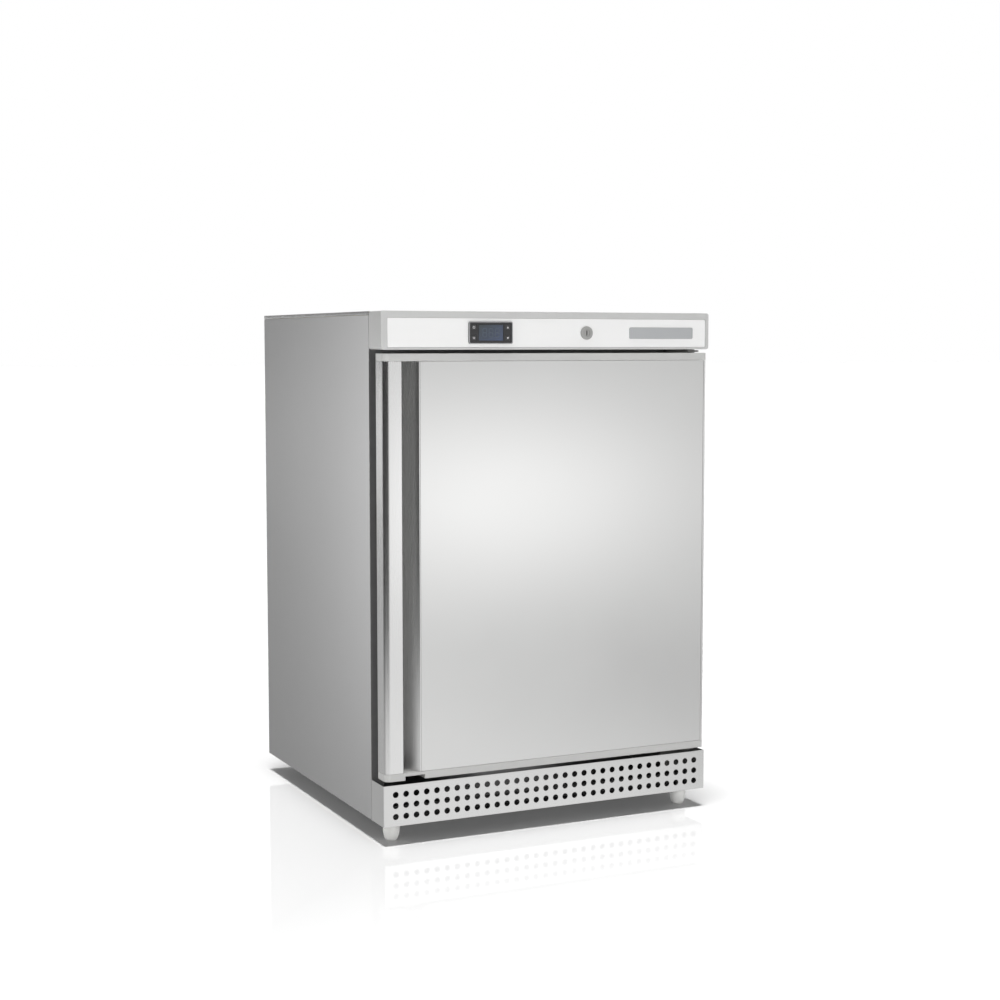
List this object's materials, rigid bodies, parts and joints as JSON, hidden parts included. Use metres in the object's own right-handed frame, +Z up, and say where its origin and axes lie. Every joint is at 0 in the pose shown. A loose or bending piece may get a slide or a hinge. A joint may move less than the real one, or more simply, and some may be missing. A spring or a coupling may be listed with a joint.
{
  "type": "undercounter refrigerator",
  "caption": "Stainless undercounter refrigerator with a solid right-hinged door, vertical grip handle, digital controller, key lock and perforated base grille.",
  "frame": {"origin": "centre of the footprint on the floor, under the middle of the overall box", "axes": "+Z up, the door faces -Y, +X is the viewer's right when facing the door, where the hinges are"},
  "size_m": [0.6, 0.585, 0.855],
  "materials": {
    "stainless": "fine vertical brushing, satin",
    "frame_steel": "satin dark grey paint",
    "side_steel": "satin grey finish, soft sheen",
    "galvanised": "dull galvanised sheet with a faint spangle",
    "zinc": "zinc plated, slightly dull",
    "aluminium": "satin anodised",
    "grey_plastic": "satin moulded",
    "white_panel": "smooth, semi-gloss",
    "white_plastic": "thermoformed, semi-gloss",
    "black_plastic": "fine moulded texture",
    "display_glass": "smooth tinted window, gloss",
    "key_rubber": "soft touch",
    "seal_rubber": "soft, matt",
    "foam": "rigid foam",
    "coated_wire": "plastic coated wire, satin",
    "black_paint": "black enamel",
    "copper": "drawn copper tube",
    "foot_plastic": "moulded pale plastic"
  },
  "bodies": {
    "cabinet": {"top_panel": "stainless", "fascia_housing": "stainless", "front_grille": "stainless", "front_frame": "frame_steel", "base_tray": "frame_steel", "side_panel_left": "side_steel", "side_panel_right": "side_steel", "back_panel": "galvanised", "compressor_rail": "galvanised", "lock_housing": "zinc", "lock_nut": "zinc", "upper_hinge_bracket": "zinc", "upper_hinge_pin": "zinc", "lower_hinge_bracket": "zinc", "lower_hinge_pin": "zinc", "temperature_probe": "zinc", "evaporator_plate": "aluminium", "fascia_panel": "white_panel", "inner_liner": "white_plastic", "fan_housing": "white_plastic", "fan_guard": "white_plastic", "controller_bezel": "black_plastic", "controller_body": "black_plastic", "fan_motor": "black_plastic", "relay_cover": "black_plastic", "evaporation_tray": "black_plastic", "terminal_box": "black_plastic", "mains_gland": "black_plastic", "display_lens": "display_glass", "foam_insulation": "foam", "shelf_lower": "coated_wire", "shelf_middle": "coated_wire", "shelf_upper": "coated_wire", "compressor": "black_paint", "condenser_coil": "black_paint", "condenser_bracket_left": "black_paint", "condenser_bracket_right": "black_paint", "filter_drier": "copper", "discharge_tube": "copper", "suction_tube": "copper"},
    "door": {"door_skin": "stainless", "door_handle": "aluminium", "door_edge_profile": "aluminium", "door_top_cap": "grey_plastic", "door_bottom_cap": "grey_plastic", "door_foam": "foam", "door_liner": "white_plastic", "door_gasket": "seal_rubber", "lock_strike": "zinc"},
    "lock_core": {"lock_plug": "zinc", "lock_cam": "zinc"},
    "fan_rotor": {"fan_blade": "black_plastic"},
    "key_set": {"button_set": "key_rubber"},
    "key_defrost": {"button_defrost": "key_rubber"},
    "key_up": {"button_up": "key_rubber"},
    "key_down": {"button_down": "key_rubber"},
    "leveller_front_left": {"foot_front_left": "foot_plastic"},
    "leveller_front_right": {"foot_front_right": "foot_plastic"},
    "leveller_rear_left": {"foot_rear_left": "foot_plastic"},
    "leveller_rear_right": {"foot_rear_right": "foot_plastic"}
  },
  "joints": [
    {"name": "door_swing", "type": "hinge", "parent": "cabinet", "child": "door", "pos_m": [0.275, -0.269, 0.4465], "axis": [0, 0, 1], "range_deg": [0, 115]},
    {"name": "lock_turn", "type": "hinge", "parent": "cabinet", "child": "lock_core", "pos_m": [0.064, -0.29, 0.821], "axis": [0, 1, 0], "range_deg": [0, 90]},
    {"name": "fan_spin", "type": "hinge", "parent": "cabinet", "child": "fan_rotor", "pos_m": [0, 0.1792, 0.691], "axis": [0, 1, 0], "continuous": true},
    {"name": "press_set", "type": "slide", "parent": "cabinet", "child": "key_set", "axis": [0, 1, 0], "range_m": [0, 0.0008], "stiffness_N_per_m": 600},
    {"name": "press_defrost", "type": "slide", "parent": "cabinet", "child": "key_defrost", "axis": [0, 1, 0], "range_m": [0, 0.0008], "stiffness_N_per_m": 600},
    {"name": "press_up", "type": "slide", "parent": "cabinet", "child": "key_up", "axis": [0, 1, 0], "range_m": [0, 0.0008], "stiffness_N_per_m": 600},
    {"name": "press_down", "type": "slide", "parent": "cabinet", "child": "key_down", "axis": [0, 1, 0], "range_m": [0, 0.0008], "stiffness_N_per_m": 600},
    {"name": "level_front_left", "type": "slide", "parent": "cabinet", "child": "leveller_front_left", "axis": [0, 0, -1], "range_m": [0, 0.012]},
    {"name": "level_front_right", "type": "slide", "parent": "cabinet", "child": "leveller_front_right", "axis": [0, 0, -1], "range_m": [0, 0.012]},
    {"name": "level_rear_left", "type": "slide", "parent": "cabinet", "child": "leveller_rear_left", "axis": [0, 0, -1], "range_m": [0, 0.012]},
    {"name": "level_rear_right", "type": "slide", "parent": "cabinet", "child": "leveller_rear_right", "axis": [0, 0, -1], "range_m": [0, 0.012]}
  ]
}
